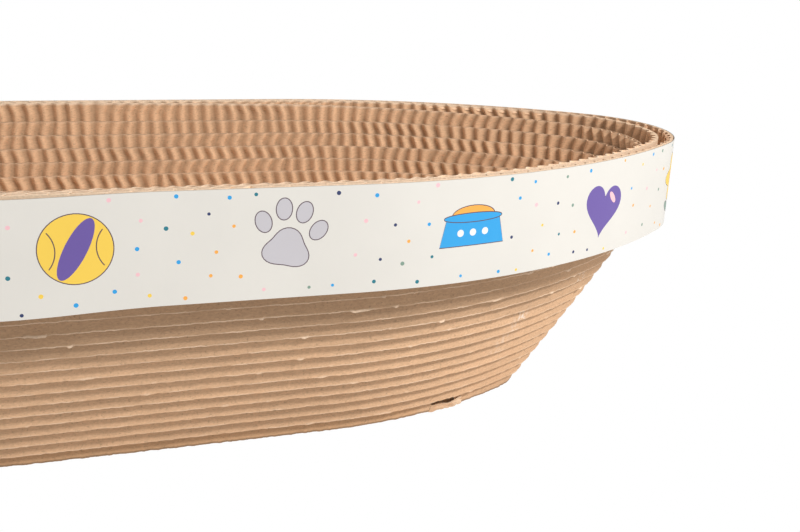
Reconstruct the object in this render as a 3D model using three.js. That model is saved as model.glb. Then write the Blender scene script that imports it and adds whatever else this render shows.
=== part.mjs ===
// Oval cat scratcher: a bowl wound from strips of single-face corrugated cardboard,
// pushed down in the middle like a telescope, with a printed paper band round its rim
import * as THREE from 'three';

// Plan of the rim from above, in millimetres, to the outer face of the winding
const halfWidth = 119;
const sideRadius = 309;
const tipRadius = 63.5;
const straightLength = 144;

// Inside the outermost turn: how slowly the end's radius shrinks, how loose the first turns
// lie at the ends, and how much thinner the plies are pressed there
const tipShrink = 0.574;
const endSlack = 9.7;
const slackStart = 0.62;
const slackTurns = 2;
const endSqueeze = 0.19;

// Cardboard strip: a smooth backing outside, upright flutes inside
const stripHeight = 49;
const backing = 1;
const fluteDepth = 2.9;
const flutePitch = 11.9;
const turnGap = 0.3;
const foldRadius = 4;

// The winding: level turns at the rim, a first drop where the wall leaves it, a steady
// descent down the wall, then a level floor
const levelTurns = 2.4;
const firstDrop = 3.2;
const firstDropTurns = 0.3;
const wallTurns = 13.55;
const turnDrop = 7.25;
const stripTurns = 0.931;
const jointGap = 0.8;
const coreLag = 0.01;

// Paper band glued round the rim, its end lapped over its beginning
const bandHeight = 48.6;
const bandThickness = 0.5;
const bandGap = 0.3;
const bandRamp = 0.045;
const bandLap = 0.012;

// Facets of each bowed stretch and of each half end, on the smooth faces, and how much
// finer the outermost strip's and the band's are
const sideFacets = 6;
const tipFacets = 4;
const rimFineness = 2;

const thickness = backing + fluteDepth;
const turnPitch = thickness + turnGap;
const bowlHeight = stripHeight + firstDrop + wallTurns * turnDrop;
const innermostTurns = (halfWidth - foldRadius - thickness) / turnPitch;

const cardboard = new THREE.MeshStandardMaterial({ color: 0xcfa578, roughness: 0.95, metalness: 0 });
const floorBoard = new THREE.MeshStandardMaterial({ color: 0xc49a6c, roughness: 0.95, metalness: 0 });
const printedPaper = new THREE.MeshStandardMaterial({ color: 0xeeeae0, roughness: 0.55, metalness: 0 });

// Shape of one quarter of the oval at a depth inside the rim's outer face
const sideOffset = sideRadius - halfWidth;

function quarterShape(inset, turns) {
  const tip = Math.max(tipRadius - tipShrink * inset, foldRadius);
  const reach = sideRadius - inset - tip;
  const sweep = Math.acos(Math.min(1, sideOffset / reach));
  const slack = endSlack * THREE.MathUtils.clamp((turns - slackStart) / slackTurns, 0, 1);
  const straight = straightLength / 2 - slack + endSqueeze * Math.max(0, inset);
  return { tip, side: sideRadius - inset, sweep, straight, tipCentre: straight + reach * Math.sin(sweep) };
}

// Lengths of a quarter's three stretches on the rim: half the straight, the bowed side, half the end
const rimShape = quarterShape(0, 0);
const straightPart = straightLength / 2;
const sidePart = sideRadius * rimShape.sweep;
const tipPart = tipRadius * (Math.PI / 2 - rimShape.sweep);
const quarterLength = straightPart + sidePart + tipPart;

function quarterPoint(along, inset, turns) {
  const shape = quarterShape(inset, turns);
  if (along <= straightPart) {
    return [along * shape.straight / straightPart, halfWidth - inset];
  }
  if (along <= straightPart + sidePart) {
    const angle = (along - straightPart) / sidePart * shape.sweep;
    return [shape.straight + shape.side * Math.sin(angle), shape.side * Math.cos(angle) - sideOffset];
  }
  const share = (along - straightPart - sidePart) / tipPart;
  const angle = shape.sweep + share * (Math.PI / 2 - shape.sweep);
  return [shape.tipCentre + shape.tip * Math.sin(angle), shape.tip * Math.cos(angle)];
}

// The winding starts where the front side leaves its straight on the left, and runs
// round by the left end, the back and the right end, so each quarter is a mirrored one
const quarterSides = [[-1, -1], [-1, 1], [1, 1], [1, -1]];

function pointAt(turns, inset) {
  const travelled = (turns - Math.floor(turns)) * 4 + straightPart / quarterLength;
  const quarter = Math.floor(travelled) % 4;
  const part = travelled - Math.floor(travelled);
  const along = (quarter % 2 === 0 ? part : 1 - part) * quarterLength;
  const [x, y] = quarterPoint(along, inset, turns);
  return new THREE.Vector2(quarterSides[quarter][0] * x, quarterSides[quarter][1] * y);
}

function spiralInset(turns) {
  return turns * turnPitch;
}

function topHeight(turns) {
  const descended = THREE.MathUtils.clamp(turns - levelTurns, 0, wallTurns);
  const first = firstDrop * THREE.MathUtils.smoothstep(turns, levelTurns, levelTurns + firstDropTurns);
  return bowlHeight - first - descended * turnDrop;
}

// Turn counts, between two ends, at which a smooth face has an edge
function facetTurns(from, to, fineness = 1) {
  const stations = [];
  for (let i = 0; i < sideFacets * fineness; i += 1) {
    stations.push(straightPart + sidePart * i / (sideFacets * fineness));
  }
  for (let i = 0; i <= tipFacets * fineness; i += 1) {
    stations.push(straightPart + sidePart + tipPart * i / (tipFacets * fineness));
  }
  const fractions = new Set();
  for (let quarter = 0; quarter < 4; quarter += 1) {
    for (const station of stations) {
      const part = station / quarterLength;
      const travelled = quarter + (quarter % 2 === 0 ? part : 1 - part);
      const fraction = (travelled - straightPart / quarterLength) / 4;
      fractions.add(Number((fraction - Math.floor(fraction)).toFixed(9)));
    }
  }
  const result = [from];
  const least = 0.002;
  for (let turn = Math.floor(from); turn <= Math.ceil(to); turn += 1) {
    for (const fraction of [...fractions].sort((a, b) => a - b)) {
      const turns = turn + fraction;
      if (turns > from + least && turns < to - least) {
        result.push(turns);
      }
    }
  }
  result.push(to);
  return result;
}

// Length along a face between two turn counts, as a list to look turn counts up in
function measuredPath(from, to, insetOf) {
  const samplesPerTurn = 720;
  const count = Math.max(8, Math.ceil((to - from) * samplesPerTurn));
  const path = [{ turns: from, length: 0 }];
  let previous = pointAt(from, insetOf(from));
  for (let i = 1; i <= count; i += 1) {
    const turns = from + (to - from) * i / count;
    const point = pointAt(turns, insetOf(turns));
    path.push({ turns, length: path[i - 1].length + point.distanceTo(previous) });
    previous = point;
  }
  return path;
}

function turnsAtLength(path, length) {
  let i = 1;
  while (i < path.length - 1 && path[i].length < length) {
    i += 1;
  }
  const share = (length - path[i - 1].length) / (path[i].length - path[i - 1].length);
  return path[i - 1].turns + share * (path[i].turns - path[i - 1].turns);
}

// The strip's cut edge seen from above: a row of triangles between its outer face and
// its inner one, with one more triangle for each flute's crest
function edgeTriangles(outerFace, innerFace) {
  const valleys = innerFace.filter((point) => !point.crest);
  const triangles = [];
  let i = 0;
  let j = 0;
  while (i < outerFace.length - 1 || j < valleys.length - 1) {
    const outerNext = i < outerFace.length - 1 ? outerFace[i + 1].turns : Infinity;
    const innerNext = j < valleys.length - 1 ? valleys[j + 1].turns : Infinity;
    if (outerNext <= innerNext) {
      triangles.push([outerFace[i], valleys[j], outerFace[i + 1]]);
      i += 1;
    } else {
      triangles.push([outerFace[i], valleys[j], valleys[j + 1]]);
      j += 1;
    }
  }
  innerFace.forEach((point, k) => {
    if (point.crest) {
      triangles.push([innerFace[k - 1], point, innerFace[k + 1]]);
    }
  });
  return triangles;
}

// A solid stood on edge, whose top and bottom follow the winding's height: its rim is a
// list of points, clockwise from above, and its triangles are threes of them
function uprightSolid(rim, triangles, height) {
  const positions = [];
  for (const drop of [0, height]) {
    for (const { turns, inset } of rim) {
      const point = pointAt(turns, inset);
      positions.push(point.x, point.y, topHeight(turns) - drop);
    }
  }
  const count = rim.length;
  const places = new Map(rim.map((point, i) => [point, i]));
  const faces = [];
  for (const corners of triangles) {
    const [a, b, c] = corners.map((point) => places.get(point));
    faces.push(a, b, c, count + c, count + b, count + a);
  }
  for (let i = 0; i < count; i += 1) {
    const next = (i + 1) % count;
    faces.push(i, next, count + i, next, count + next, count + i);
  }
  const geometry = new THREE.BufferGeometry();
  geometry.setAttribute('position', new THREE.Float32BufferAttribute(positions, 3));
  geometry.setIndex(faces);
  geometry.computeVertexNormals();
  return geometry;
}

function uprightStrip(outerFace, innerFace, height) {
  const rim = [...outerFace, ...innerFace.toReversed()];
  return uprightSolid(rim, edgeTriangles(outerFace, innerFace), height);
}

function smoothFace(from, to, insetOf, fineness) {
  return facetTurns(from, to, fineness).map((turns) => ({ turns, inset: insetOf(turns) }));
}

// Inner face of a fluted strip: crests and valleys half a pitch apart along its backing
function flutedFace(from, to) {
  const path = measuredPath(from, to, spiralInset);
  const length = path.at(-1).length;
  const halfPitches = 2 * Math.round(length / flutePitch);
  const face = [];
  for (let i = 0; i <= halfPitches; i += 1) {
    const turns = turnsAtLength(path, length * i / halfPitches);
    const crest = i % 2 === 1;
    face.push({ turns, crest, inset: spiralInset(turns) + (crest ? thickness : backing) });
  }
  return face;
}

function namedMesh(name, geometry, material) {
  const mesh = new THREE.Mesh(geometry, material);
  mesh.name = name;
  return mesh;
}

// How far a facet of the bowed side cuts inside its curve, which a smooth inner face allows for
const facetSag = sideRadius * (1 - Math.cos(rimShape.sweep / sideFacets / 2));

function innerInset(turns) {
  return spiralInset(turns) + thickness - facetSag;
}

function plainStrip(name, from, to, material, fineness) {
  const outer = smoothFace(from, to, spiralInset, fineness);
  const inner = smoothFace(from, to, innerInset, fineness);
  return namedMesh(name, uprightStrip(outer, inner, stripHeight), material);
}

function flutedStrip(name, from, to) {
  const outer = smoothFace(from, to, spiralInset);
  return namedMesh(name, uprightStrip(outer, flutedFace(from, to), stripHeight), cardboard);
}

// The strip's inner end, folded on itself, fills the slot that the last turn leaves, clear of its end
function coreStrip(lastTurns) {
  const from = lastTurns - 1 + coreLag;
  const rim = smoothFace(from, lastTurns, (turns) => spiralInset(turns) + turnPitch);
  const outline = rim.map(({ turns, inset }) => pointAt(turns, inset));
  const triangles = THREE.ShapeUtils.triangulateShape(outline, []).map((corners) => corners.map((i) => rim[i]));
  return namedMesh('core_strip', uprightSolid(rim, triangles, stripHeight), floorBoard);
}

// The band follows the outermost turn, then ramps out over the strip's end and laps itself
function bandInset(turns) {
  const rampStart = 1 - bandRamp;
  const lapped = -(bandGap + bandThickness + bandGap);
  const share = THREE.MathUtils.smoothstep(turns, rampStart, 1);
  return (spiralInset(turns) - bandGap) * (1 - share) + lapped * share;
}

function printedBand() {
  const end = 1 + bandLap;
  const rampSteps = 6;
  const stations = facetTurns(0, 1 - bandRamp, rimFineness);
  for (let i = 1; i <= rampSteps; i += 1) {
    stations.push(1 - bandRamp + bandRamp * i / rampSteps);
  }
  stations.push(end);
  const inner = stations.map((turns) => ({ turns, inset: bandInset(turns) }));
  const outer = stations.map((turns) => ({ turns, inset: bandInset(turns) - bandThickness }));
  const band = namedMesh('printed_band', uprightStrip(outer, inner, bandHeight), printedPaper);
  band.position.z = (bandHeight - stripHeight) / 2;
  return band;
}

const scratcher = new THREE.Group();
scratcher.add(printedBand());

// Share of a turn that the gap between two strips' ends takes
const jointShare = jointGap / (4 * quarterLength);
const stripCount = Math.floor(innermostTurns / stripTurns);
const wallEnd = levelTurns + wallTurns;
const rimStrips = Math.floor(levelTurns / stripTurns);
const wallStrips = Math.floor(wallEnd / stripTurns) - rimStrips;
for (let i = 0; i < stripCount; i += 1) {
  const from = i * stripTurns;
  const to = (i + 1) * stripTurns - jointShare;
  const wallNumber = i + 1 - rimStrips;
  const floorNumber = wallNumber - wallStrips;
  if (i === 0) {
    scratcher.add(plainStrip('rim_strip_1', from, to, cardboard, rimFineness));
  } else if (wallNumber < 1) {
    scratcher.add(flutedStrip(`rim_strip_${i + 1}`, from, to));
  } else if (floorNumber < 1) {
    scratcher.add(flutedStrip(`wall_strip_${String(wallNumber).padStart(2, '0')}`, from, to));
  } else {
    scratcher.add(plainStrip(`floor_strip_${String(floorNumber).padStart(2, '0')}`, from, to, floorBoard));
  }
}
scratcher.add(coreStrip(stripCount * stripTurns));

// Stand the bowl on z = 0 with its plan centred
const bounds = new THREE.Box3().setFromObject(scratcher);
const centre = bounds.getCenter(new THREE.Vector3());
scratcher.position.set(-centre.x, -centre.y, -bounds.min.z);

export default scratcher;
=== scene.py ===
import math

import bpy
import numpy as np
from mathutils import Matrix, Vector
from mathutils.geometry import delaunay_2d_cdt


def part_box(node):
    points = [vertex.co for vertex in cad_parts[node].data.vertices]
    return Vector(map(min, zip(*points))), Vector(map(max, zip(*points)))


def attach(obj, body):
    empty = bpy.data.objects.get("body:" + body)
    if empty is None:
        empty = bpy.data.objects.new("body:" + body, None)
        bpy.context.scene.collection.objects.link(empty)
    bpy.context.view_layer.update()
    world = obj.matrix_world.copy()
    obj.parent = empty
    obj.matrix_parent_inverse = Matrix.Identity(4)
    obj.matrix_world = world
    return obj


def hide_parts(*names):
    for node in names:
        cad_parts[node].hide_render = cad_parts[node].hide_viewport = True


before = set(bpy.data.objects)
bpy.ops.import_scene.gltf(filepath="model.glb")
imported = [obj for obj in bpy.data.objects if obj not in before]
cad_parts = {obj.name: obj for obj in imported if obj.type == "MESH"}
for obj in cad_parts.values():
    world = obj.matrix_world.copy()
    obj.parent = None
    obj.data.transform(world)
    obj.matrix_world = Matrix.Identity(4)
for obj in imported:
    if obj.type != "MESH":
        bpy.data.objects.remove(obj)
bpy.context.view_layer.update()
scene = bpy.context.scene


# The view: along the bowl's long front side towards its right end, from a little above
# the rim. The left end lies outside the picture.
rim_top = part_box("rim_strip_1")[1].z
camera_place = Vector((-0.0347, -0.4978, rim_top + 0.0961))
camera_yaw = 0.320
camera_pitch = 0.320
camera_roll = 0.042
fitted_focal_pixels = 963.2
picture_width_pixels = 800
film_width = 36.0
nearest_seen = 0.01

forward = Vector((
    math.sin(camera_yaw) * math.cos(camera_pitch),
    math.cos(camera_yaw) * math.cos(camera_pitch),
    -math.sin(camera_pitch),
))
level_right = Vector((math.cos(camera_yaw), -math.sin(camera_yaw), 0.0))
level_up = level_right.cross(forward)
camera_right = level_right * math.cos(camera_roll) + level_up * math.sin(camera_roll)
camera_up = camera_right.cross(forward)
camera_data = bpy.data.cameras.new("view")
camera_data.sensor_width = film_width
camera_data.lens = film_width * fitted_focal_pixels / picture_width_pixels
camera_data.clip_start = nearest_seen
camera = bpy.data.objects.new("view", camera_data)
camera.matrix_world = Matrix((
    (camera_right.x, camera_up.x, -forward.x, camera_place.x),
    (camera_right.y, camera_up.y, -forward.y, camera_place.y),
    (camera_right.z, camera_up.z, -forward.z, camera_place.z),
    (0.0, 0.0, 0.0, 1.0),
))
scene.collection.objects.link(camera)
scene.camera = camera


# The winding: one spiral of board, wound flat into an oval coil whose middle is then
# pushed down. Every strip and the band follow it. Turns are counted from the outer end.
half_width = 0.119
side_radius = 0.309
tip_radius = 0.0635
half_straight = 0.072
tip_shrink = 0.574
end_slack = 0.0097
slack_start = 0.62
slack_turns = 2.0
end_squeeze = 0.19
fold_radius = 0.004
turn_pitch = 0.0042
strip_height = 0.049
level_turns = 2.4
first_drop = 0.0032
first_drop_turns = 0.3
wall_turns = 13.55
turn_drop = 0.00725
strip_turns = 0.931

side_offset = side_radius - half_width
rim_sweep = math.acos(side_offset / (side_radius - tip_radius))
side_length = side_radius * rim_sweep
tip_length = tip_radius * (math.pi / 2 - rim_sweep)
quarter_length = half_straight + side_length + tip_length


def plan_point(turns, inset):
    """Place in plan, at a depth inside the rim's outer face."""
    travelled = (turns - np.floor(turns)) * 4 + half_straight / quarter_length
    quarter = np.floor(travelled).astype(int) % 4
    part = travelled - np.floor(travelled)
    along = np.where(quarter % 2 == 0, part, 1 - part) * quarter_length
    tip = np.maximum(tip_radius - tip_shrink * inset, fold_radius)
    reach = side_radius - inset - tip
    sweep = np.arccos(np.minimum(1, side_offset / reach))
    slack = end_slack * np.clip((turns - slack_start) / slack_turns, 0, 1)
    straight = half_straight - slack + end_squeeze * np.maximum(0, inset)
    side_angle = (along - half_straight) / side_length * sweep
    tip_angle = sweep + (along - half_straight - side_length) / tip_length * (math.pi / 2 - sweep)
    stretches = [along <= half_straight, along <= half_straight + side_length]
    x = np.select(stretches, [
        along * straight / half_straight,
        straight + (side_radius - inset) * np.sin(side_angle),
    ], straight + reach * np.sin(sweep) + tip * np.sin(tip_angle))
    y = np.select(stretches, [
        half_width - inset,
        (side_radius - inset) * np.cos(side_angle) - side_offset,
    ], tip * np.cos(tip_angle))
    x_side = np.array([-1, -1, 1, 1])[quarter]
    y_side = np.array([-1, 1, 1, -1])[quarter]
    return np.stack([x_side * x, y_side * y], axis=-1)


def smooth_rise(value, low, high):
    share = np.clip((value - low) / (high - low), 0, 1)
    return share * share * (3 - 2 * share)


def top_height(turns):
    first = first_drop * smooth_rise(turns, level_turns, level_turns + first_drop_turns)
    return rim_top - first - turn_drop * np.clip(turns - level_turns, 0, wall_turns)


wound_turns = 27
stations_per_turn = 2000
spiral_turns = np.linspace(0, wound_turns, wound_turns * stations_per_turn + 1)
spiral_walk = plan_point(spiral_turns, spiral_turns * turn_pitch)
spiral_steps = np.hypot(*np.diff(spiral_walk, axis=0).T)
spiral_length = np.concatenate([[0], np.cumsum(spiral_steps)])

# The band's outer face is the widest thing on the bowl, so it centres the winding
band_gap = 0.0003
band_paper = 0.0005
band_ramp = 0.045
band_lap = 0.012
band_stations = 4001


def band_inset(turns):
    lapped = -(2 * band_gap + band_paper)
    share = smooth_rise(turns, 1 - band_ramp, 1.0)
    return (turns * turn_pitch - band_gap) * (1 - share) + lapped * share


band_turns = np.linspace(0, 1 + band_lap, band_stations)
band_walk = plan_point(band_turns, band_inset(band_turns) - band_paper)
plan_shift = -(band_walk.min(axis=0) + band_walk.max(axis=0)) / 2


# Kraft board's look: pale brown paper with short fibres along the web, dark flecks and
# soft clouds, paler and rougher where the saw cut it, with dried glue here and there.
def srgb(red, green, blue):
    """A colour written in the eight-bit steps of a colour picker, as linear light."""
    steps = [channel / 255 for channel in (red, green, blue)]
    linear = [s / 12.92 if s <= 0.04045 else ((s + 0.055) / 1.055) ** 2.4 for s in steps]
    return (*linear, 1.0)


class Shader:
    """A principled material, with short names for the nodes that feed it."""

    def __init__(self, name, roughness, specular):
        self.material = bpy.data.materials.new(name)
        self.material.use_nodes = True
        self.tree = self.material.node_tree
        self.surface = self.tree.nodes["Principled BSDF"]
        self.surface.inputs["Roughness"].default_value = roughness
        self.surface.inputs["Specular IOR Level"].default_value = specular

    def feed(self, socket, value):
        if isinstance(value, (int, float, tuple)):
            socket.default_value = value
        else:
            self.tree.links.new(value, socket)

    def colour(self, value):
        self.feed(self.surface.inputs["Base Color"], value)

    def object_place(self):
        return self.tree.nodes.new("ShaderNodeTexCoord").outputs["Object"]

    def attribute(self, name, output):
        node = self.tree.nodes.new("ShaderNodeAttribute")
        node.attribute_name = name
        return node.outputs[output]

    def noise(self, place, scale, detail, stretch=(1.0, 1.0, 1.0)):
        mapping = self.tree.nodes.new("ShaderNodeMapping")
        mapping.inputs["Scale"].default_value = stretch
        self.feed(mapping.inputs["Vector"], place)
        texture = self.tree.nodes.new("ShaderNodeTexNoise")
        texture.inputs["Scale"].default_value = scale
        texture.inputs["Detail"].default_value = detail
        self.feed(texture.inputs["Vector"], mapping.outputs["Vector"])
        return texture.outputs["Fac"]

    def span(self, value, low, high, bottom, top):
        node = self.tree.nodes.new("ShaderNodeMapRange")
        for socket, given in zip(node.inputs, (value, low, high, bottom, top)):
            self.feed(socket, given)
        return node.outputs["Result"]

    def times(self, first, second):
        node = self.tree.nodes.new("ShaderNodeMath")
        node.operation = "MULTIPLY"
        self.feed(node.inputs[0], first)
        self.feed(node.inputs[1], second)
        return node.outputs[0]

    def mix(self, factor, first, second):
        node = self.tree.nodes.new("ShaderNodeMix")
        node.data_type = "RGBA"
        self.feed(node.inputs["Factor"], factor)
        self.feed(node.inputs["A"], first)
        self.feed(node.inputs["B"], second)
        return node.outputs["Result"]

    def scaled(self, colour, level):
        node = self.tree.nodes.new("ShaderNodeVectorMath")
        node.operation = "SCALE"
        self.feed(node.inputs["Vector"], colour[:3])
        self.feed(node.inputs["Scale"], level)
        return node.outputs["Vector"]

    def bump(self, height, distance, strength):
        node = self.tree.nodes.new("ShaderNodeBump")
        node.inputs["Strength"].default_value = strength
        node.inputs["Distance"].default_value = distance
        self.feed(node.inputs["Height"], height)
        self.feed(self.surface.inputs["Normal"], node.outputs["Normal"])


def kraft_board(name, paper, cut_paper):
    shader = Shader(name, roughness=0.9, specular=0.15)
    place = shader.attribute("along_board", "Vector")
    cut = shader.attribute("cut_edge", "Fac")
    glue = shader.attribute("glue", "Fac")
    # tone carries painted shade and painted light: shadow under the band, shade in the flute grooves, lit
    # crests and a contact shadow at the foot
    tone = shader.attribute("tone", "Fac")

    clouds = shader.noise(place, scale=16, detail=3)
    clouds = shader.span(clouds, low=0.3, high=0.7, bottom=0.93, top=1.05)
    fibres = shader.noise(place, scale=1500, detail=4, stretch=(0.4, 1.0, 1.0))
    fibres = shader.span(fibres, low=0.3, high=0.7, bottom=0.88, top=1.09)
    flecks = shader.noise(place, scale=900, detail=3)
    flecks = shader.span(flecks, low=0.30, high=0.40, bottom=0.78, top=1.0)
    level = shader.times(shader.times(shader.times(clouds, fibres), flecks), tone)
    face = shader.scaled(paper, level)

    smear = shader.noise(place, scale=450, detail=3)
    smear = shader.span(smear, low=0.45, high=0.6, bottom=0.0, top=1.0)
    dried_glue = srgb(240, 228, 214)
    face = shader.mix(shader.times(smear, glue), face, dried_glue)

    spot = shader.object_place()
    ragged = shader.noise(spot, scale=900, detail=3)
    ragged = shader.span(ragged, low=0.35, high=0.62, bottom=0.88, top=1.03)
    edge = shader.scaled(cut_paper, ragged)
    shader.colour(shader.mix(cut, face, edge))
    shader.bump(shader.noise(spot, scale=1100, detail=4), distance=0.0002, strength=0.3)
    return shader.material


wall_board = kraft_board("wall_board", srgb(219, 179, 142), srgb(246, 219, 190))
floor_board = kraft_board("floor_board", srgb(212, 170, 131), srgb(240, 210, 178))


# Single-face board: a smooth liner with a fluted sheet glued inside it, sawn to height.
# The cut edges are ragged, and paper fibre half closes the flutes' mouths. At the bowl's
# round ends the foot of each sunk turn is pressed in, and its flutes are crushed there.
flute_pitch = 0.00793
board_thickness = 0.0039
liner_paper = 0.0006
flute_paper = 0.0007
steps_per_flute = 8
glue_sink = 0.00005
board_sharp_degrees = 50
heading_step = 1e-5
joint_calm = 0.01
rough = np.random.default_rng(11)


def wander(spacing, amount):
    """Smooth random drift along the spiral, which carries on from strip to strip."""
    knots = rough.uniform(-1, 1, int(spiral_length[-1] / spacing) + 1)

    def drift(place):
        steps = place / spacing
        low = np.floor(steps).astype(int)
        share = smooth_rise(steps - low, 0, 1)
        before = knots[low % len(knots)]
        after = knots[(low + 1) % len(knots)]
        return amount * (before * (1 - share) + after * share)
    return drift


ply_drift = wander(spacing=0.05, amount=0.00010)
liner_ragged = wander(spacing=0.0033, amount=0.00036)
liner_nicks = wander(spacing=0.0011, amount=0.00018)
burr_size = wander(spacing=0.006, amount=0.00015)
flute_ragged = wander(spacing=0.0015, amount=0.00020)
flute_depth_drift = wander(spacing=0.011, amount=0.09)
flute_phase_drift = wander(spacing=0.02, amount=0.0006)
flute_slant = wander(spacing=0.09, amount=0.0007)
mouth_depth = wander(spacing=0.0025, amount=0.0004)
flap_choice = wander(spacing=0.007, amount=1.0)
edge_fading = wander(spacing=0.007, amount=1.0)


def flute_count(turns):
    """Flutes between the start of the strip that lies at each place and the place."""
    strip = np.floor(turns / strip_turns)
    start = np.interp(strip * strip_turns, spiral_turns, spiral_length)
    end = np.interp((strip + 1) * strip_turns, spiral_turns, spiral_length)
    flutes = np.round((end - start) / flute_pitch)
    place = np.interp(turns, spiral_turns, spiral_length)
    return (place - flute_phase_drift(place) - start) / (end - start) * flutes


def sheet_rings(turns_at, levels, outer_at, inner_at, top, foot):
    """Rings round a sheet stood on edge: down its outer face, then up its inner one."""
    rings = []
    for inset_at, order in ((outer_at, levels), (inner_at, levels[::-1])):
        for level in order:
            plan = plan_point(turns_at(level), inset_at(level)) + plan_shift
            rings.append(np.column_stack([plan, top + (foot - top) * level]))
    return np.stack(rings, axis=1)


def skin(rings, offset):
    """Quads between the rings, and a face across each end."""
    stations, around = rings.shape[:2]
    index = np.arange(stations * around).reshape(stations, around) + offset
    after = np.roll(index, -1, axis=1)
    quads = np.stack([index[:-1], index[1:], after[1:], after[:-1]], axis=-1).reshape(-1, 4)
    return quads.tolist() + [index[0].tolist(), index[-1][::-1].tolist()]


def mesh_piece(name, points, faces, material, sharp_degrees):
    mesh = bpy.data.meshes.new(name)
    mesh.from_pydata(points.tolist(), [], faces)
    mesh.polygons.foreach_set("use_smooth", [True] * len(faces))
    mesh.set_sharp_from_angle(angle=math.radians(sharp_degrees))
    mesh.materials.append(material)
    piece = bpy.data.objects.new(name, mesh)
    scene.collection.objects.link(piece)
    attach(piece, "root")
    return piece


def add_attribute(piece, name, kind, values):
    layer = piece.data.attributes.new(name, kind, "POINT")
    field = "vector" if kind == "FLOAT_VECTOR" else "value"
    layer.data.foreach_set(field, values.astype(np.float32).reshape(-1))


glue_smears = (
    (Vector((0.2209, -0.0492, 0.0768)), 0.0034),
    (Vector((0.1792, -0.0625, 0.0620)), 0.0038),
    (Vector((0.1769, -0.0593, 0.0492)), 0.0036),
    (Vector((0.1713, -0.0574, 0.0408)), 0.0040),
)


def glue_amount(points):
    amount = np.zeros(len(points))
    for smear, radius in glue_smears:
        apart = np.linalg.norm(points - np.array(smear), axis=-1)
        amount += np.exp(-(apart / radius) ** 2)
    return amount


# Rings down a sheet lie at shares of the strip's height, from its cut top to its foot
slant_level = 0.15
mouth_bend_level = 0.12
lean_level = 0.85
burr_level = 0.975
liner_levels = np.array([0, 0.006, 0.25, 0.75, lean_level, burr_level, 0.988, 0.996, 1.0])
flute_levels = np.array([0, 0.006, 0.03, 0.06, 0.09, mouth_bend_level, slant_level, lean_level, 1.0])
plug_levels = np.array([0, 1.0])

tear_slope = 0.001
least_burr = 0.0001
flap_lift = 0.0004
flap_droop = 0.0006
top_raggedness = 0.6
table_gap = 0.001
foot_lean = 0.0025
crushed_gap = 0.0001
step_slant = 0.30
rim_mouth = 0.0006
wall_mouth = 0.0030
plug_height = 0.002
plug_cover = 0.0001
plug_least = 0.00002

# Shares of the strip's height where a ring counts as part of the cut top or of the foot
cut_top_level = 0.007
worn_level = 0.98
grounded_level = 0.985
cut_foot_level = 0.99
grounded_height = 0.004

# How wear, pale edges and painted shade (under the band, in the flute grooves, at the
# foot) spread over the board. A pair says where a change begins and where it is full.
frayed_choice = (0.78, 0.95)
frayed_turns = (6, 9)
least_fray = 0.4
rim_end_bend = (0.3, 0.9)
rim_end_filled = 0.8
rim_end_dulled = 0.55
lean_bend = (0.15, 0.75)
sunk_top_paleness = 0.2
foot_paleness = 0.55
foot_patchiness = 0.35
lower_fading = 0.25
fading_turns = (5, 9)
# Painted shadow of the band and rim's overhang: it darkens the upper turns' liner, and lifts lower down
# and towards the round ends
painted_band_shadow = 0.71
band_shadow_fade_turns = (4.5, 8.5)
band_shadow_fade_bend = (0.2, 0.85)
band_shadow_lift_at_bend = 0.75
# Painted shade in the flute grooves and painted light on their crests
painted_groove_shade = 0.83
painted_crest_light = 0.38
crest_rise = (0.1, 1.6)
# Painted contact shadow where the foot stands on the table
painted_contact_shadow = 0.5
grain_step = 0.1


def torn_away(place, strip_end, tear):
    """Height of foot missing in a tear, which starts and stops at depths from the strip's end."""
    starts, stops, height = tear
    torn = smooth_rise(place, strip_end - starts, strip_end - starts + tear_slope)
    torn *= smooth_rise(-place, stops - strip_end, stops - strip_end + tear_slope)
    return height * torn


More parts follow.
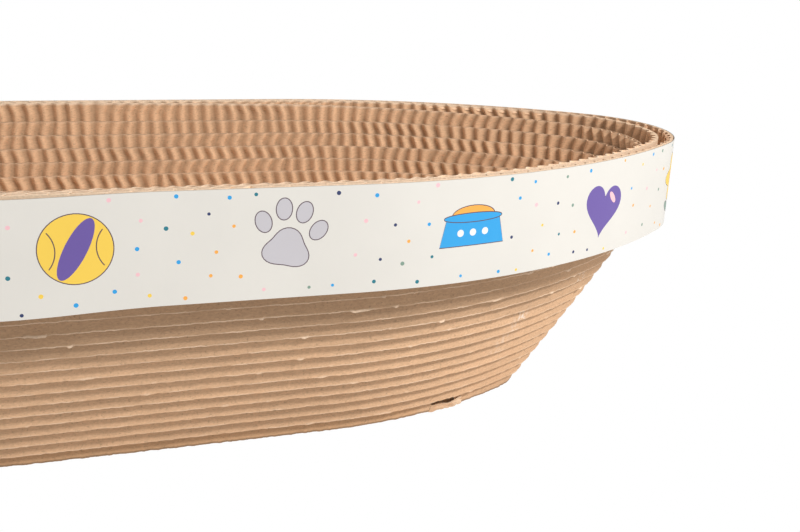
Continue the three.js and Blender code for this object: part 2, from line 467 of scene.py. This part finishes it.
class BoardStrip:
    """The stations of one strip along the spiral, and the sheets that stand on them."""

    def __init__(self, start, end, in_rim, tear):
        first, last = np.interp([start, end], spiral_turns, spiral_length)
        flutes = max(2, round((last - first) / flute_pitch))
        self.start = start
        self.in_rim = in_rim
        self.place = np.linspace(first, last, flutes * steps_per_flute + 1)
        self.turns = np.interp(self.place, spiral_length, spiral_turns)
        self.base = self.turns * turn_pitch + ply_drift(self.place)
        self.top = top_height(self.turns)
        self.foot = self.top - strip_height + torn_away(self.place, last, tear)
        self.across = self.heading_across()
        self.burr = least_burr + np.abs(burr_size(self.place))
        self.flap = self.flap_amount()
        self.rim_end = smooth_rise(self.across, *rim_end_bend) * in_rim
        sunk = smooth_rise(self.turns, level_turns, level_turns + 1)
        self.foot_lean = foot_lean * smooth_rise(self.across, *lean_bend) * sunk

        inside = np.minimum(smooth_rise(self.place, first, first + joint_calm),
                            smooth_rise(-self.place, -last, -last + joint_calm))
        self.flute_place = self.place + flute_phase_drift(self.place) * inside
        out_of_step = flute_count(np.maximum(0, self.turns - 1)) - flute_count(self.turns)
        step_lean = step_slant * flute_pitch * np.sin(2 * math.pi * out_of_step)
        self.slant = (flute_slant(self.place) - step_lean) * inside

        self.phase = 2 * math.pi * np.arange(len(self.place)) / steps_per_flute
        swell = board_thickness - liner_paper - flute_paper
        swell = swell * (1 - np.abs(flute_depth_drift(self.place)))
        self.wave = self.base + liner_paper - glue_sink + swell * (1 - np.cos(self.phase)) / 2

    def heading_across(self):
        """How far the strip runs across the bowl: 0 on the long sides, 1 at the tips."""
        ahead = plan_point(self.turns + heading_step, self.base)
        behind = plan_point(self.turns - heading_step, self.base)
        return np.abs(ahead - behind)[:, 1] / np.linalg.norm(ahead - behind, axis=1)

    def flap_amount(self):
        """Where the liner's foot is frayed into small flaps, mostly on the upper turns."""
        frayed = smooth_rise(flap_choice(self.place), *frayed_choice)
        upper = 1 - smooth_rise(self.turns, *frayed_turns)
        return frayed * (least_fray + (1 - least_fray) * upper)

    def leaned_in(self, level):
        return self.foot_lean * max(0.0, (level - lean_level) / (1 - lean_level))

    def liner_outer(self, level):
        roughened = (self.burr + flap_lift * self.flap) * smooth_rise(level, burr_level, 1.0)
        return self.base - roughened + self.leaned_in(level)

    def liner_inner(self, level):
        return self.liner_outer(level) + liner_paper

    def liner(self):
        """The smooth sheet, nibbled at both cut edges, with flaps that hang from its foot."""
        nibbled = np.abs(liner_ragged(self.place)) + np.abs(liner_nicks(self.place))
        droop = flap_droop * self.flap * (self.foot > table_gap)
        return sheet_rings(lambda level: self.turns, liner_levels, self.liner_outer,
                           self.liner_inner, self.top - nibbled * top_raggedness,
                           self.foot + nibbled - droop)

    def flute_turns(self, level):
        """Above each step the flutes lean, by how far out of step they are with the turn outside."""
        leaned = self.flute_place + self.slant * (1 - smooth_rise(level, 0.0, slant_level))
        return np.interp(leaned, spiral_length, spiral_turns)

    def flute_outer(self, level):
        """The wave, crushed against the liner where the foot leans in and bent at the mouths."""
        crushed = self.base + liner_paper + crushed_gap - self.wave
        crushed = crushed * self.leaned_in(level) / foot_lean
        bent = flute_ragged(self.place[::-1]) * (1 - smooth_rise(level, 0.0, mouth_bend_level))
        return self.wave + crushed + self.leaned_in(level) + bent * np.sin(self.phase / 2) ** 2

    def flute_inner(self, level):
        return self.flute_outer(level) + flute_paper

    def flutes(self):
        bitten = np.abs(flute_ragged(self.place))
        return sheet_rings(self.flute_turns, flute_levels, self.flute_outer, self.flute_inner,
                           self.top - bitten, self.foot + bitten)

    def plug(self):
        """Torn fibre that closes the flutes, deeper in the wall than in the rim's flat top."""
        depth = (rim_mouth if self.in_rim else wall_mouth) + np.abs(mouth_depth(self.place))
        depth = depth * (1 - rim_end_filled * self.rim_end)
        behind = self.base + liner_paper
        front = np.maximum(self.wave, behind + plug_least) + plug_cover
        return sheet_rings(self.flute_turns, plug_levels, lambda level: behind - plug_cover,
                           lambda level: front, self.top - depth, self.top - depth - plug_height)

    def grounded(self, around):
        """Which rings at the foot stand on the table, or nearly so."""
        return (self.foot < grounded_height)[:, None] & (around > grounded_level)

    def paleness(self, around, is_liner):
        """How much of the pale sawn edge shows on each ring round a sheet."""
        level_part = 1 - smooth_rise(self.turns, level_turns, level_turns + first_drop_turns)
        top_edge = np.maximum(level_part, sunk_top_paleness)[:, None]
        edge = np.where(around < cut_top_level, top_edge, 0.0)
        edge = edge * (1 - rim_end_dulled * self.rim_end[:, None])
        if not is_liner:
            return edge
        faded = foot_paleness + foot_patchiness * edge_fading(self.place)
        faded -= lower_fading * smooth_rise(self.turns, *fading_turns)
        worn = np.where(around > worn_level, 1.0, 0.0) * self.flap[:, None]
        edge = np.where(around > cut_foot_level, faded[:, None], edge)
        # No pale edge where the painted contact shadow lies at the foot
        return np.maximum(edge, worn) * ~self.grounded(around)

    def tone(self, around, is_liner):
        """Painted shade and light: flute grooves shaded and crests lit, the upper turns' liner shaded on
        its long sides by the band's overhang, and a contact shadow at the foot.
        """
        if is_liner:
            # Painted shadow of the band's overhang on the upper turns, lifted lower down and at the round
            # ends
            out_of_band_shadow = np.maximum(smooth_rise(self.turns, *band_shadow_fade_turns),
                                 band_shadow_lift_at_bend * smooth_rise(self.across, *band_shadow_fade_bend))
            tone = painted_band_shadow + (1 - painted_band_shadow) * out_of_band_shadow
        else:
            # Painted shade in the grooves and painted light on the crests
            tone = painted_groove_shade + painted_crest_light * smooth_rise(1 - np.cos(self.phase), *crest_rise)
        # Painted contact shadow at the foot where it stands on the table
        return tone[:, None] * np.where(self.grounded(around), painted_contact_shadow, 1.0)

    def grain(self, rings):
        """Each point's place on the unrolled paper, which the fibres and clouds follow."""
        drop = self.top[:, None] - rings[..., 2]
        along = np.broadcast_to(self.place[:, None], drop.shape)
        return np.stack([along, drop, np.full(drop.shape, grain_step * self.start)], axis=-1)


def board_strip(node, start, end, material, tear):
    strip = BoardStrip(start, end, node.startswith("rim"), tear)
    sheets = ((strip.liner(), liner_levels, True),
              (strip.flutes(), flute_levels, False),
              (strip.plug(), plug_levels, False))
    points = []
    faces = []
    cut = []
    grain = []
    tone = []
    for rings, levels, is_liner in sheets:
        around = np.concatenate([levels, levels[::-1]])
        faces += skin(rings, sum(len(part) for part in points))
        points.append(rings.reshape(-1, 3))
        cut.append(strip.paleness(around, is_liner).reshape(-1))
        grain.append(strip.grain(rings).reshape(-1, 3))
        tone.append(strip.tone(around, is_liner).reshape(-1))
    points = np.concatenate(points)
    piece = mesh_piece(f"board_{node}", points, faces, material, board_sharp_degrees)
    add_attribute(piece, "cut_edge", "FLOAT", np.concatenate(cut))
    add_attribute(piece, "along_board", "FLOAT_VECTOR", np.concatenate(grain))
    add_attribute(piece, "glue", "FLOAT", glue_amount(points))
    # tone: painted shade and painted light, multiplied into the board's colour
    add_attribute(piece, "tone", "FLOAT", np.concatenate(tone))
    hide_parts(node)


# The strips: each is a little under one turn long and butts against the next. Two lie
# level in the rim, fifteen step down the wall, and eleven make the level floor. The last
# wall strip's foot is torn near its end, low on the front.
strip_kinds = ("rim", "wall", "floor")
strip_names = [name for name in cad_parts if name.split("_")[0] in strip_kinds]
strip_names.sort(key=lambda name: (strip_kinds.index(name.split("_")[0]), name))
tear_starts = 0.0262
tear_stops = 0.0085
tear_height = 0.0075
tears = {"wall_strip_15": (tear_starts, tear_stops, tear_height)}
no_tear = (0.0, 0.0, 0.0)
for i, node in enumerate(strip_names):
    material = floor_board if node.startswith("floor") else wall_board
    tear = tears.get(node, no_tear)
    board_strip(node, i * strip_turns, (i + 1) * strip_turns, material, tear)


# A torn scrap: the crumpled liner of the last wall strip's end, still hanging on low on
# the front, where it half covers the dark slit that the tear leaves.
scrap_columns = 22
scrap_rows = 9
scrap_starts = -0.0300
scrap_stops = -0.0060
scrap_foot = 0.0006
scrap_paper = 0.0005
lowest_point = 0.0003
crease_depth = 0.0006
crease_lift = 0.5
scrap_bulge = 0.0005
scrap_overlap = 0.0002
tucked_depth = 0.0008
tucked_columns = 6
torn_paleness = 0.6
inward_step = 0.001


def scrap_height(share):
    """The torn upper edge, from the scrap's left end to its right: a high corner, a slow rise."""
    height = 0.0026 + 0.0027 * share + 0.0021 * np.exp(-(share / 0.2) ** 2)
    return height + 0.0004 * np.sin(13 * share) - 0.0005 * np.sin(math.pi * share)


def grid_faces(columns, rows):
    """Quads of a grid of points, and the points in order round its edge."""
    index = np.arange(columns * rows).reshape(columns, rows)
    quads = np.stack([index[:-1, :-1], index[:-1, 1:], index[1:, 1:], index[1:, :-1]], axis=-1)
    bottom = index[:, 0].tolist()
    right = index[-1, 1:].tolist()
    top = index[-2::-1, -1].tolist()
    left = index[0, -2:0:-1].tolist()
    return quads.reshape(-1, 4), bottom + right + top + left


def torn_scrap():
    crumple = np.random.default_rng(3)
    creases = crumple.normal(0, crease_depth, (scrap_columns, scrap_rows))
    creases = (creases + np.roll(creases, 1, axis=0) + np.roll(creases, 2, axis=0)) / 2
    joint_turns = strip_names.index("floor_strip_01") * strip_turns
    joint_place = np.interp(joint_turns, spiral_turns, spiral_length)
    places = joint_place + np.linspace(scrap_starts, scrap_stops, scrap_columns)
    turns = np.interp(places, spiral_length, spiral_turns)
    depth = turns * turn_pitch
    tallest = scrap_height(np.linspace(0, 1, scrap_columns))
    tucked = smooth_rise(places, places[-tucked_columns], places[-1])
    outer = []
    for row in range(scrap_rows):
        share = row / (scrap_rows - 1)
        bulge = creases[:, row] * share + scrap_bulge * math.sin(math.pi * share)
        inset = depth - scrap_overlap - bulge * (1 - tucked) + tucked_depth * tucked
        height = scrap_foot + tallest * share + creases[:, row] * crease_lift
        plan = plan_point(turns, inset) + plan_shift
        outer.append(np.column_stack([plan, np.maximum(height, lowest_point)]))
    outer = np.stack(outer, axis=1)
    inward = plan_point(turns, depth + inward_step) - plan_point(turns, depth)
    inward = np.column_stack([inward, np.zeros(scrap_columns)])
    inner = outer + scrap_paper / inward_step * inward[:, None, :]
    points = np.concatenate([outer.reshape(-1, 3), inner.reshape(-1, 3)])

    front, edge = grid_faces(scrap_columns, scrap_rows)
    count = scrap_columns * scrap_rows
    faces = front.tolist() + (front[:, ::-1] + count).tolist()
    faces += [[a, b, b + count, a + count] for a, b in zip(edge, edge[1:] + edge[:1])]
    scrap = mesh_piece("torn_scrap", points, faces, wall_board, board_sharp_degrees)
    along = np.tile(np.repeat(places, scrap_rows), 2)
    grain = np.stack([along, points[:, 2], np.zeros(2 * count)], axis=-1)
    paleness = np.repeat(np.linspace(torn_paleness, 0.0, scrap_columns), scrap_rows)
    add_attribute(scrap, "cut_edge", "FLOAT", np.tile(paleness, 2))
    add_attribute(scrap, "along_board", "FLOAT_VECTOR", grain)
    add_attribute(scrap, "glue", "FLOAT", np.zeros(2 * count))
    add_attribute(scrap, "tone", "FLOAT", np.ones(2 * count))


torn_scrap()


# The core: the strip's inner end folded on itself fills the slot in the middle of the
# floor. Its solid stays, and its cut edge gets the look of the floor's board on end.
core_board = Shader("core_board", roughness=0.9, specular=0.15)
core_place = core_board.object_place()
core_plies = core_board.noise(core_place, scale=600, detail=4, stretch=(0.4, 1.0, 1.0))
core_level = core_board.span(core_plies, low=0.3, high=0.65, bottom=0.6, top=1.03)
core_board.colour(core_board.scaled(srgb(226, 196, 164), core_level))
core_relief = core_board.noise(core_place, scale=500, detail=4, stretch=(0.4, 1.0, 1.0))
core_board.bump(core_relief, distance=0.0006, strength=0.6)
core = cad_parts["core_strip"]
core.data.materials.clear()
core.data.materials.append(core_board.material)


# The printed band: a strip of satin off-white paper glued round the rim and lapped over
# its own start, printed with small confetti dots and pet motifs in thin dark outline.
# Motifs are drawn in millimetres round their own middles.
band_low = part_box("printed_band")[0].z
band_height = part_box("printed_band")[1].z - band_low
band_steps = np.hypot(*np.diff(band_walk, axis=0).T)
band_length = np.concatenate([[0], np.cumsum(band_steps)])
fold_spacing = 0.004
mm = 0.001
ink_line = 0.32
fine_line = 0.35
quill_line = 0.4
barb_line = 0.3


def closed_curve(formula, count):
    angles = np.arange(count) * 2 * math.pi / count
    return np.array([formula(angle) for angle in angles])


def ellipse(x, y, x_radius, y_radius, tilt=0.0, count=28):
    def at(angle):
        across = x_radius * math.cos(angle)
        up = y_radius * math.sin(angle)
        return (x + across * math.cos(tilt) - up * math.sin(tilt),
                y + across * math.sin(tilt) + up * math.cos(tilt))
    return closed_curve(at, count)


def grown(outline, distance):
    """The outline moved outwards by a distance; it runs anticlockwise."""
    along = np.roll(outline, -1, axis=0) - np.roll(outline, 1, axis=0)
    outward = np.column_stack([along[:, 1], -along[:, 0]])
    return outline + distance * outward / np.linalg.norm(outward, axis=1)[:, None]


def inked(outline, colour):
    """A filled form with its dark outline, as layers from the lowest up."""
    return [(grown(outline, ink_line), "ink"), (outline, colour)]


def stroke(points, width):
    """An ink line through points, drawn as one thin form."""
    line = np.array(points, dtype=float)
    along = np.gradient(line, axis=0)
    side = np.column_stack([-along[:, 1], along[:, 0]])
    side *= width / 2 / np.linalg.norm(side, axis=1)[:, None]
    return [(np.concatenate([line - side, (line + side)[::-1]]), "ink")]


def arc(x, y, radius, start, end, count=12):
    angles = np.linspace(math.radians(start), math.radians(end), count)
    return [(x + radius * math.cos(a), y + radius * math.sin(a)) for a in angles]


def paw(colour):
    def pad(angle):
        spread = 7.2 + 1.1 * math.cos(3 * angle + math.pi / 2)
        return spread * math.cos(angle), -4.5 + 0.86 * spread * math.sin(angle)
    layers = inked(closed_curve(pad, 40), colour)
    for x, y, tilt in ((-9.2, 3.4, 0.5), (-3.4, 8.6, 0.15), (3.4, 8.6, -0.15), (9.2, 3.4, -0.5)):
        layers += inked(ellipse(x, y, 2.5, 3.5, tilt), colour)
    return layers


def fish(colour, stripe_colour):
    def body(angle):
        return 13.0 * math.cos(angle) - 2.0, 7.6 * math.sin(angle) * (1 + 0.18 * math.cos(angle))
    tail = np.array([(10.0, 0.0), (14.0, -4.5), (18.0, -7.0), (16.6, 0.0), (18.0, 7.0), (14.0, 4.5)])
    fin = np.array([(-3.0, 6.6), (4.6, 6.0), (6.2, 10.4), (1.0, 9.8)])
    layers = inked(fin, stripe_colour) + inked(tail, stripe_colour) + inked(closed_curve(body, 48), colour)
    for x in (0.0, 4.0):
        layers.append((ellipse(x, 0, 1.0, 5.6 - 0.2 * x), stripe_colour))
    layers += stroke(arc(-12.0, 0.0, 5.6, -58, 58), fine_line)
    layers.append((ellipse(-10.2, 2.0, 0.9, 0.9), "ink"))
    layers.append((ellipse(-9.9, 2.3, 0.3, 0.3), "white"))
    return layers


def heart(colour, shade):
    def outline(angle):
        x = 16 * math.sin(angle) ** 3
        y = 13 * math.cos(angle) - 5 * math.cos(2 * angle) - 2 * math.cos(3 * angle) - math.cos(4 * angle)
        return -0.72 * x, 0.72 * y
    layers = inked(closed_curve(outline, 56), colour)
    layers.append((ellipse(-5.2, 4.0, 3.0, 1.2, 0.75), shade))
    return layers


def toy_ball(colour, stripe_colour):
    layers = inked(ellipse(0, 0, 11.0, 11.0, 0.0, 48), colour)
    layers.append((ellipse(0, 0, 3.4, 10.7, 0.5, 36), stripe_colour))
    layers += stroke(arc(-15.0, 0.0, 9.0, -40, 40), fine_line)
    layers += stroke(arc(15.0, 0.0, 9.0, 140, 220), fine_line)
    return layers


def flower(colour, heart_colour):
    def petals(angle):
        radius = 8.6 * (1 + 0.26 * math.cos(5 * angle))
        return radius * math.cos(angle), 3.5 + radius * math.sin(angle)
    stem = np.array([(-0.5, -3.0), (-0.2, -9.0), (-1.2, -14.0), (-0.2, -14.0), (0.9, -9.0), (0.5, -3.0)])
    layers = inked(stem, "leaf_green") + inked(ellipse(4.2, -9.5, 4.2, 1.7, 0.5), "leaf_green")
    layers += inked(closed_curve(petals, 60), colour)
    layers += inked(ellipse(0, 3.5, 3.1, 3.1), heart_colour)
    return layers


def feeding_bowl(colour, filling):
    side = np.array([(-13.0, -8.0), (13.0, -8.0), (10.6, 2.0), (-10.6, 2.0)])
    layers = inked(ellipse(0, 2.6, 8.6, 3.6, 0.0, 32), filling)
    layers += inked(side, colour)
    layers += inked(ellipse(0, 2.0, 11.6, 1.5, 0.0, 40), colour)
    for x in (-5.0, 0.0, 5.0):
        layers.append((ellipse(x, -3.4, 1.3, 1.3), "white"))
    return layers


def feather(colour, shade):
    def vane(angle):
        return 15.0 * math.cos(angle), 4.4 * math.sin(angle) * (1 - 0.25 * math.cos(angle))
    layers = inked(closed_curve(vane, 48), colour)
    layers.append((ellipse(4.0, -1.2, 7.0, 1.2), shade))
    layers += stroke([(-19.0, -1.4), (-10.0, 0.0), (0.0, 0.4), (12.0, 0.2)], quill_line)
    for x in (-8.0, -3.0, 2.0, 7.0):
        layers += stroke([(x, 0.3), (x + 2.4, 2.9)], barb_line)
    return layers


inks = {
    "paper": srgb(221, 217, 209),
    "ink": srgb(92, 74, 84),
    "white": srgb(234, 232, 228),
    "yellow": srgb(244, 205, 84),
    "orange": srgb(243, 170, 78),
    "aubergine": srgb(88, 66, 92),
    "purple": srgb(108, 88, 160),
    "grey": srgb(196, 192, 196),
    "dark_grey": srgb(150, 146, 152),
    "blue": srgb(50, 160, 222),
    "deep_blue": srgb(32, 112, 178),
    "pink": srgb(240, 190, 196),
    "leaf_green": srgb(128, 154, 138),
    "navy": srgb(54, 64, 104),
    "teal": srgb(42, 122, 136),
}
motif_drawings = (
    (fish("orange", "yellow"), 0.18),
    (paw("aubergine"), -0.15),
    (flower("yellow", "orange"), 0.0),
    (heart("purple", "pink"), 0.12),
    (feeding_bowl("blue", "orange"), 0.0),
    (paw("grey"), 0.2),
    (toy_ball("yellow", "purple"), 0.0),
    (fish("blue", "deep_blue"), -0.2),
    (feather("grey", "dark_grey"), 0.55),
)
dot_inks = ("navy", "teal", "blue", "orange", "yellow", "pink", "leaf_green")

motif_spacing = 0.085
motif_scale = 1.3
motif_heights = (0.45, 0.58)
motif_room = 0.0225
dot_radii = (0.7, 1.0)
dot_corners = 12
dot_room = 0.0103
dot_margin = 0.0018
dot_tries = 9000


def printed_motifs(printer):
    """Motifs in a row along the flat band, in metres, from the lowest layer up."""
    length = band_length[-1]
    count = int(length / motif_spacing)
    layers = []
    centres = []
    for i in range(count):
        drawing, tilt = motif_drawings[i % len(motif_drawings)]
        middle_height = band_height * printer.uniform(*motif_heights)
        centre = np.array([(i + 0.5) * length / count, middle_height])
        turned = np.array([[math.cos(tilt), math.sin(tilt)], [-math.sin(tilt), math.cos(tilt)]])
        for outline, ink in drawing:
            layers.append((outline @ turned * mm * motif_scale + centre, ink))
        centres.append(centre)
    return layers, centres


def printed_dots(printer, motif_centres):
    """Dots strewn over the flat band, clear of the motifs and of each other."""
    length = band_length[-1]
    layers = []
    taken = [(centre, motif_room) for centre in motif_centres]
    for attempt in range(dot_tries):
        spot = np.array([printer.uniform(dot_margin, length - dot_margin),
                         printer.uniform(dot_margin, band_height - dot_margin)])
        if all(np.linalg.norm(spot - centre) > room for centre, room in taken):
            radius = printer.uniform(*dot_radii) * mm
            ink = dot_inks[printer.integers(len(dot_inks))]
            layers.append((ellipse(*spot, radius, radius, count=dot_corners), ink))
            taken.append((spot, dot_room))
    return layers


def printed_sheet(layers):
    """The flat band as triangles that follow the printed outlines, and the ink of each."""
    length = band_length[-1]
    flat = [(0.0, 0.0), (length, 0.0), (length, band_height), (0.0, band_height)]
    outlines = [[0, 1, 2, 3]]
    for outline, ink in layers:
        outlines.append(list(range(len(flat), len(flat) + len(outline))))
        flat += outline.tolist()
    folds = []
    for place in np.arange(fold_spacing, length - fold_spacing / 2, fold_spacing):
        folds.append((len(flat), len(flat) + 1))
        flat += [(place, 0.0), (place, band_height)]
    only_inside = 1
    same_point = 1e-7
    name_owners = True
    points, _, triangles, _, _, owners = delaunay_2d_cdt(
        [Vector(p) for p in flat], folds, outlines, only_inside, same_point, name_owners)
    names = list(inks)
    paints = [0] + [names.index(ink) for outline, ink in layers]
    face_inks = [paints[max(owner)] for owner in owners]
    return np.array([tuple(p) for p in points]), np.array([list(face) for face in triangles]), face_inks


def printed_paper(ink):
    shader = Shader(f"print_{ink}", roughness=0.42, specular=0.35)
    place = shader.object_place()
    tone = shader.noise(place, scale=30, detail=3)
    tone = shader.span(tone, low=0.3, high=0.7, bottom=0.975, top=1.01)
    shader.colour(shader.scaled(inks[ink], tone))
    ripples = shader.noise(place, scale=90, detail=3, stretch=(1.0, 1.0, 0.25))
    shader.bump(ripples, distance=0.0006, strength=0.12)
    return shader.material


def band_piece():
    printer = np.random.default_rng(5)
    motifs, motif_centres = printed_motifs(printer)
    dots = printed_dots(printer, motif_centres)
    flat_points, triangles, face_inks = printed_sheet(motifs + dots)

    turns = np.interp(flat_points[:, 0], band_length, band_turns)
    heights = band_low + flat_points[:, 1]
    outer = plan_point(turns, band_inset(turns) - band_paper) + plan_shift
    inner = plan_point(turns, band_inset(turns)) + plan_shift
    points = np.concatenate([np.column_stack([outer, heights]), np.column_stack([inner, heights])])
    count = len(flat_points)
    edges = np.stack([triangles, np.roll(triangles, -1, axis=1)], axis=-1).reshape(-1, 2)
    present = {tuple(edge) for edge in edges.tolist()}
    rim = [(a, b) for a, b in present if (b, a) not in present]
    faces = triangles[:, ::-1].tolist()
    faces += (triangles + count).tolist()
    faces += [[a, b, b + count, a + count] for a, b in rim]
    never_sharp = 180
    piece = mesh_piece("band_printed", points, faces, printed_paper("paper"), never_sharp)
    for name in list(inks)[1:]:
        piece.data.materials.append(printed_paper(name))
    indices = face_inks + [0] * (len(faces) - len(face_inks))
    piece.data.polygons.foreach_set("material_index", indices)

    # The long thin triangles shade evenly only with the curve's own normals
    ahead = plan_point(turns + heading_step, band_inset(turns))
    ahead -= plan_point(turns - heading_step, band_inset(turns))
    outward = np.column_stack([-ahead[:, 1], ahead[:, 0], np.zeros(count)])
    outward /= np.linalg.norm(outward, axis=1)[:, None]
    piece.data.normals_split_custom_set_from_vertices(np.concatenate([outward, -outward]).tolist())
    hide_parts("printed_band")


band_piece()


# The set: a white table and an even white room, both pure white to the viewer, and one soft
# lamp high in front on the right, whose light the overhanging plies cut off.
def seen_white(tree, plain, output):
    """Pure white to camera rays, and the plain look to all other light."""
    path = tree.nodes.new("ShaderNodeLightPath")
    chooser = tree.nodes.new("ShaderNodeMixShader")
    tree.links.new(path.outputs["Is Camera Ray"], chooser.inputs[0])
    tree.links.new(plain, chooser.inputs[1])
    white = tree.nodes.new("ShaderNodeEmission")
    tree.links.new(white.outputs[0], chooser.inputs[2])
    tree.links.new(chooser.outputs[0], output.inputs["Surface"])


ground = bpy.data.meshes.new("table")
table_reach = 3.0
corners = [(x * table_reach, y * table_reach, 0) for x, y in ((-1, -1), (1, -1), (1, 1), (-1, 1))]
ground.from_pydata(corners, [], [(0, 1, 2, 3)])
table = bpy.data.objects.new("table", ground)
scene.collection.objects.link(table)
table_top = Shader("table_top", roughness=0.8, specular=0.2)
table_top.colour(srgb(240, 240, 240))
table_output = table_top.tree.nodes["Material Output"]
seen_white(table_top.tree, table_top.surface.outputs[0], table_output)
ground.materials.append(table_top.material)

room = bpy.data.worlds.new("room")
scene.world = room
room.use_nodes = True
room_light = room.node_tree.nodes["Background"]
room_light.inputs["Color"].default_value = (1, 1, 1, 1)
room_light.inputs["Strength"].default_value = 0.50
seen_white(room.node_tree, room_light.outputs[0], room.node_tree.nodes["World Output"])

lamp_target = Vector((0.20, 0.0, 0.10))
lamp_place = Vector((0.66, -0.83, 0.95))
lamp = bpy.data.lights.new("lamp", "AREA")
lamp.shape = "RECTANGLE"
lamp.size = 0.6
lamp.size_y = 0.16
lamp.energy = 12.8
lamp_object = bpy.data.objects.new("lamp", lamp)
lamp_object.location = lamp_place
lamp_object.rotation_euler = (lamp_target - lamp_place).to_track_quat("-Z", "Y").to_euler()
scene.collection.objects.link(lamp_object)

scene.view_settings.view_transform = "Standard"
